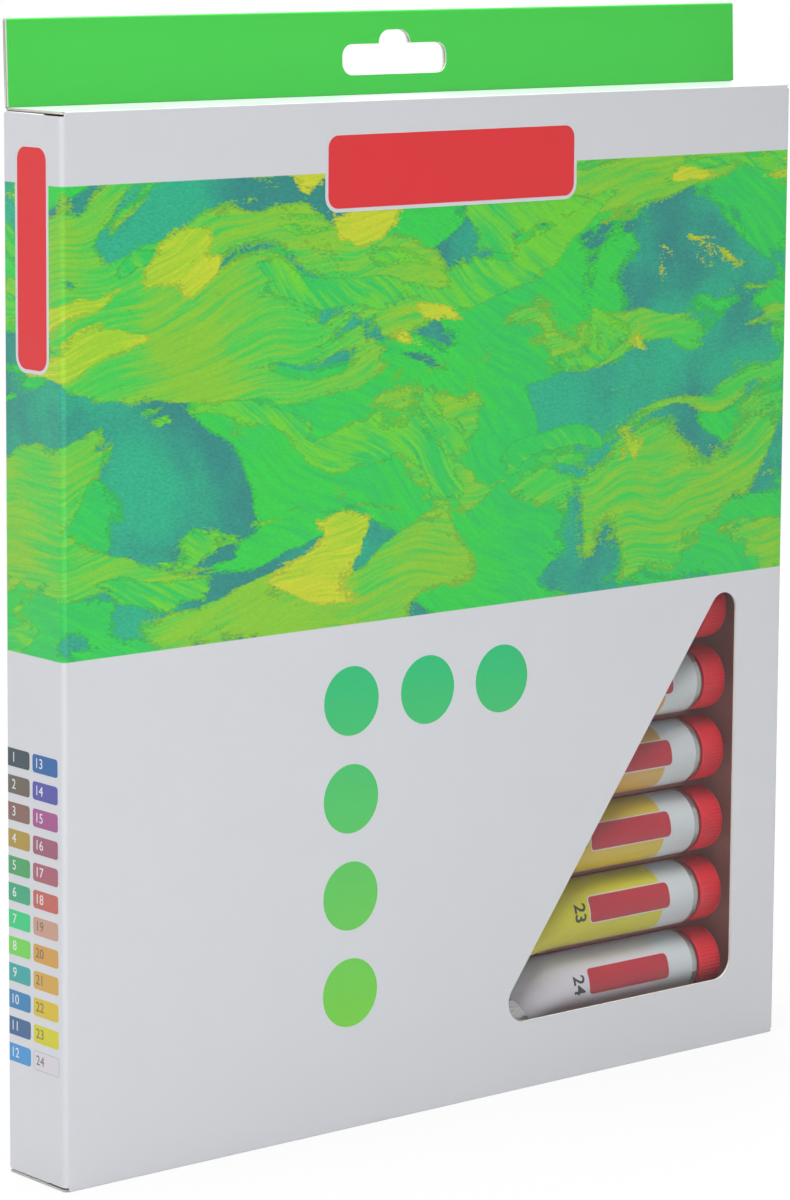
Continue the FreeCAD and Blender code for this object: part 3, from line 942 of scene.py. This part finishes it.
def next_rings(rings, now):
    """Extrudes the selected ring by each move in millimetres and scales it by each share."""
    for move, share in rings:
        now = next_ring(move * MM, now, share, share)
    return now


def pick_ring(piece, along):
    """Selects the open ring at one place along X."""
    bpy.ops.mesh.select_all(action="DESELECT")
    leave()
    for vertex in piece.data.vertices:
        vertex.select = abs(vertex.co.x - along) < RING_TOLERANCE * MM
    bpy.ops.object.mode_set(mode="EDIT")


def build_tube():
    """A tube along X: bare shoulder and neck, round barrel, flattening taper and a folded crimp."""
    size = sizes()
    start = -size.shoulder_length
    piece = start_ring("tube_model", TUBE_SIDES, size.tube_radius, start)
    now = next_ring(-SHOULDER_EDGE * MM, start)
    now = next_ring(-(size.tube_length + now), now)
    wide = tall = size.tube_radius
    for step in range(1, TAPER_STEPS + 1):
        share = step / TAPER_STEPS
        flat = share * share * (3 - 2 * share) * TAPER_EASE + share * (1 - TAPER_EASE)
        new_tall = size.tube_radius + (size.crimp_thickness / 2 - size.tube_radius) * flat
        new_wide = size.tube_radius + (size.crimp_width / 2 - size.tube_radius) * share**TAPER_SPREAD
        now = next_ring(-size.taper_length / TAPER_STEPS, now, new_wide / wide, new_tall / tall)
        wide, tall = new_wide, new_tall
    for share, swell in CRIMP_RINGS:
        now = next_ring(-size.crimp_length * share, now, 1.0, swell)
    bpy.ops.mesh.edge_face_add()
    pick_ring(piece, start)
    next_rings(SHOULDER_RINGS, start)
    bpy.ops.mesh.edge_face_add()
    bpy.ops.mesh.select_all(action="SELECT")
    bpy.ops.mesh.normals_make_consistent(inside=False)
    leave()
    unroll(piece)
    smooth(piece, angle=40)
    return piece


def unroll(piece):
    """Writes the skin's UV map in millimetres: along from the cap end, and round from the front."""
    mesh = piece.data
    layer = mesh.uv_layers.new(name="Skin")
    radius, roll = sizes().tube_radius, sizes().crimp_roll
    full_turn = 2 * math.pi
    for face in mesh.polygons:
        middle = math.atan2(face.center.z, face.center.y)
        for corner in face.loop_indices:
            spot = mesh.vertices[mesh.loops[corner].vertex_index].co
            turn = math.atan2(spot.z, spot.y)
            turn += full_turn * round((middle - turn) / full_turn)
            around = (turn + roll) % full_turn - math.pi
            layer.data[corner].uv = (-spot.x / MM, -around * radius / MM)


def seat(number):
    """Where a tube's shoulder meets its cap's axis, and which way along X the cap points."""
    tube_low, tube_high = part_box("tube_%02d" % number)
    cap_low, cap_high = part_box("cap_%02d" % number)
    middle = (cap_low + cap_high) / 2
    way = -1 if number <= ROWS else 1
    shoulder = tube_low.x if way < 0 else tube_high.x
    return Vector((shoulder, middle.y, middle.z)), way


def lay_copies(model, names, body, slot, shade_of=None):
    """Copies a model to the place of each tube or cap, each copy with its own mesh."""
    roll = Matrix.Rotation(sizes().crimp_roll, 4, "X")
    face_left = Matrix.Rotation(math.pi, 4, "Y")
    for number in range(1, TUBES + 1):
        node = "%s_%02d" % (names, number)
        spot, way = seat(number)
        place = Matrix.Translation(spot)
        piece = bpy.data.objects.new("dressed_" + node, model.data.copy())
        bpy.context.scene.collection.objects.link(piece)
        piece.data.name = piece.name
        piece.data.transform(place @ face_left @ roll if way < 0 else place @ roll)
        if shade_of:
            tint(piece, shade_of(number))
        stand_for(piece, body or node, slot, node)
    bpy.data.objects.remove(model)


class PAINTBOX_OT_tubes(bpy.types.Operator):
    """Lays the paint tubes in the tray"""

    bl_idname = "paint_box.tubes"
    bl_label = "Tubes"

    def execute(self, context):
        model = build_tube()
        dress(model, [tube_material()])
        lay_copies(model, "tube", "tray", "tube_skin", lambda number: printed(PAINTS[number - 1]))
        marks = [self.number_on_tube(number) for number in range(1, TUBES + 1)]
        piece = join(marks, "tube_numbers")
        dress(piece, [board_material("Dark mark ink", colours().mark, 0.1)])
        stand_for(piece, "tray", "tube_skin")
        return {"FINISHED"}

    def number_on_tube(self, number):
        """A plain number wrapped round a barrel, read towards the tube's underside."""
        size = sizes()
        name = "tube_number_%02d" % number
        height, swell = TUBE_NUMBER_HEIGHT * MM, 0.1 * MM
        mark = lettering(name, str(number), height, (0, 0, 0), (0, 0, 0), size.ink, swell)
        cut_step, cuts_each_way = 0.35 * MM, 10
        edit(mark)
        for step in range(-cuts_each_way, cuts_each_way + 1):
            bpy.ops.mesh.select_all(action="SELECT")
            bpy.ops.mesh.bisect(plane_co=(cut_step * step, 0, 0), plane_no=(1, 0, 0))
        leave()
        spot, way = seat(number)
        for vertex in mark.data.vertices:
            read, rise, lift = vertex.co
            turn = (read - TUBE_NUMBER_ROUND * MM) / size.tube_radius
            reach = size.tube_radius + size.ink + lift
            vertex.co = (
                spot.x + way * (rise - TUBE_NUMBER_ALONG * MM),
                spot.y - reach * math.cos(turn),
                spot.z - way * reach * math.sin(turn),
            )
        return mark


class PAINTBOX_OT_caps(bpy.types.Operator):
    """Screws a ribbed cap on each tube"""

    bl_idname = "paint_box.caps"
    bl_label = "Caps"

    def execute(self, context):
        size = sizes()
        count = 2 * size.cap_ribs
        start = size.cap_gap
        piece = start_ring("cap_model", count, size.cap_radius, start)
        bpy.ops.transform.resize(value=(1, CAP_LIP, CAP_LIP), center_override=(start, 0, 0))
        rib_start = next_rings(CAP_LIP_RINGS, start)
        rib_end = next_ring(CAP_GRIP * MM, rib_start)
        now = next_rings(CAP_ROUND_RINGS, rib_end)
        now = next_ring(size.cap_gap + size.cap_length - now, now, CAP_FACE, CAP_FACE)
        next_rings([CAP_DISH], now)
        bpy.ops.mesh.edge_face_add()
        pick_ring(piece, start)
        next_rings(CAP_MOUTH_RINGS, start)
        bpy.ops.mesh.edge_face_add()
        bpy.ops.mesh.select_all(action="DESELECT")
        leave()
        groove = 1 - size.rib_depth / size.cap_radius
        for vertex in piece.data.vertices:
            turn = math.atan2(vertex.co.z, vertex.co.y) * count / (2 * math.pi)
            off = min(abs(vertex.co.x - rib_start), abs(vertex.co.x - rib_end))
            vertex.select = off < RING_TOLERANCE * MM and round(turn) % 2 == 1
        bpy.ops.object.mode_set(mode="EDIT")
        bpy.ops.transform.resize(value=(1, groove, groove), center_override=(0, 0, 0))
        bpy.ops.mesh.select_all(action="SELECT")
        bpy.ops.mesh.normals_make_consistent(inside=False)
        leave()
        smooth(piece, angle=35)
        dress(piece, [cap_material()])
        lay_copies(piece, "cap", None, "cap_plastic")
        return {"FINISHED"}


# Stage


def backdrop_rays(tree):
    """1 for the camera, glossy and transmission rays, which see the backdrop as white."""
    rays = tree.add("LightPath").outputs
    seen = tree.math("MAXIMUM", rays["Is Camera Ray"], rays["Is Glossy Ray"])
    return tree.math("MAXIMUM", seen, rays["Is Transmission Ray"])


class PAINTBOX_OT_stage(bpy.types.Operator):
    """Sets the pale floor, the soft light and the camera"""

    bl_idname = "paint_box.stage"
    bl_label = "Stage"

    def execute(self, context):
        self.lay_floor()
        self.light(context)
        self.aim(context)
        return {"FINISHED"}

    def lay_floor(self):
        clear_selection()
        bpy.ops.mesh.primitive_plane_add(size=FLOOR_SIZE, location=(0, 0, CAD_BOX[0][2]))
        floor = name_it(bpy.context.object, "floor")
        settle(floor)
        material, tree, shader = new_material("Pale floor")
        shader["Base Color"].default_value = FLOOR_GREY
        shader["Roughness"].default_value = 0.8
        seen = backdrop_rays(tree)
        glow = tree.add("Emission", {"Color": (1, 1, 1, 1), "Strength": 1.0}).outputs[0]
        spot = tree.add("TexCoord").outputs["Object"]
        away = tree.add("VectorMath", {0: spot}, operation="LENGTH").outputs["Value"]
        (near, near_share), (far, far_share) = FLOOR_PALE_NEAR, FLOOR_PALE_FAR
        inputs = {"Value": away, "From Min": near, "From Max": far}
        inputs.update({"To Min": near_share, "To Max": far_share})
        paleness = tree.add("MapRange", inputs, interpolation_type="SMOOTHSTEP").outputs[0]
        mixed = tree.add("MixShader", {0: tree.math("MULTIPLY", seen, paleness)})
        nodes = tree.tree.nodes
        tree.put(mixed.inputs[1], nodes["Principled BSDF"].outputs[0])
        tree.put(mixed.inputs[2], glow)
        tree.put(nodes["Material Output"].inputs["Surface"], mixed.outputs[0])
        dress(floor, [material])

    def light(self, context):
        world = bpy.data.worlds.new("Studio")
        context.scene.world = world
        world.use_nodes = True
        tree = Tree(world.node_tree)
        strength = tree.math("MULTIPLY_ADD", backdrop_rays(tree), 1 - WORLD_LIGHT, WORLD_LIGHT)
        background = world.node_tree.nodes["Background"].inputs
        background["Color"].default_value = (1, 1, 1, 1)
        tree.put(background["Strength"], strength)
        for name, place, size, watts in LAMPS:
            clear_selection()
            bpy.ops.object.light_add(type="AREA", location=place)
            lamp = name_it(bpy.context.object, name)
            lamp.data.size = size
            lamp.data.energy = watts
            lamp.visible_camera = False
            aim = Vector(LAMP_TARGET) - Vector(place)
            lamp.rotation_euler = aim.to_track_quat("-Z", "Y").to_euler()

    def aim(self, context):
        """The camera's place, turn and lens were fitted to the carton's corners in the photograph."""
        focal, centre_row = 4409.0, 481.0
        yaw, pitch, roll = math.radians(39.97), math.radians(8.0), math.radians(0.37)
        place = (-0.692, -0.817, 0.306)
        level = math.cos(pitch)
        ahead = Vector((math.sin(yaw) * level, math.cos(yaw) * level, -math.sin(pitch)))
        right = Vector((math.cos(yaw), -math.sin(yaw), 0))
        up = right.cross(ahead)
        turned_right = math.cos(roll) * right + math.sin(roll) * up
        turned_up = math.cos(roll) * up - math.sin(roll) * right
        clear_selection()
        bpy.ops.object.camera_add()
        camera = name_it(bpy.context.object, "camera")
        turn = Matrix((turned_right, turned_up, -ahead)).transposed()
        camera.matrix_world = Matrix.Translation(place) @ turn.to_4x4()
        camera.data.sensor_width = SENSOR_WIDTH
        camera.data.lens = SENSOR_WIDTH * focal / IMAGE_HEIGHT
        camera.data.shift_y = (centre_row - IMAGE_HEIGHT / 2) / IMAGE_HEIGHT
        camera.data.clip_end = 50
        context.scene.camera = camera
        context.scene.view_settings.view_transform = "Standard"


class PAINTBOX_PT_panel(bpy.types.Panel):
    """Lists the steps that dress the box"""

    bl_idname = "PAINTBOX_PT_panel"
    bl_label = "Paint Box"
    bl_space_type = "VIEW_3D"
    bl_region_type = "UI"
    bl_category = "Paint Box"

    def draw(self, context):
        for operator in OPERATORS:
            self.layout.operator(operator.bl_idname)
        for group in (context.scene.paint_box_sizes, context.scene.paint_box_colours):
            for name in group.__annotations__:
                self.layout.prop(group, name)


OPERATORS = (
    PAINTBOX_OT_carton,
    PAINTBOX_OT_ends,
    PAINTBOX_OT_labels,
    PAINTBOX_OT_chart,
    PAINTBOX_OT_film,
    PAINTBOX_OT_tray,
    PAINTBOX_OT_tubes,
    PAINTBOX_OT_caps,
    PAINTBOX_OT_stage,
)
CLASSES = (PaintBoxSizes, PaintBoxColours, *OPERATORS, PAINTBOX_PT_panel)


def register():
    for item in CLASSES:
        bpy.utils.register_class(item)
    bpy.types.Scene.paint_box_sizes = bpy.props.PointerProperty(type=PaintBoxSizes)
    bpy.types.Scene.paint_box_colours = bpy.props.PointerProperty(type=PaintBoxColours)


def unregister():
    del bpy.types.Scene.paint_box_colours
    del bpy.types.Scene.paint_box_sizes
    for item in reversed(CLASSES):
        bpy.utils.unregister_class(item)


def main():
    register()
    bpy.ops.paint_box.carton()
    bpy.ops.paint_box.ends()
    bpy.ops.paint_box.labels()
    bpy.ops.paint_box.chart()
    bpy.ops.paint_box.film()
    bpy.ops.paint_box.tray()
    bpy.ops.paint_box.tubes()
    bpy.ops.paint_box.caps()
    bpy.ops.paint_box.stage()


if __name__ == "__main__":
    main()
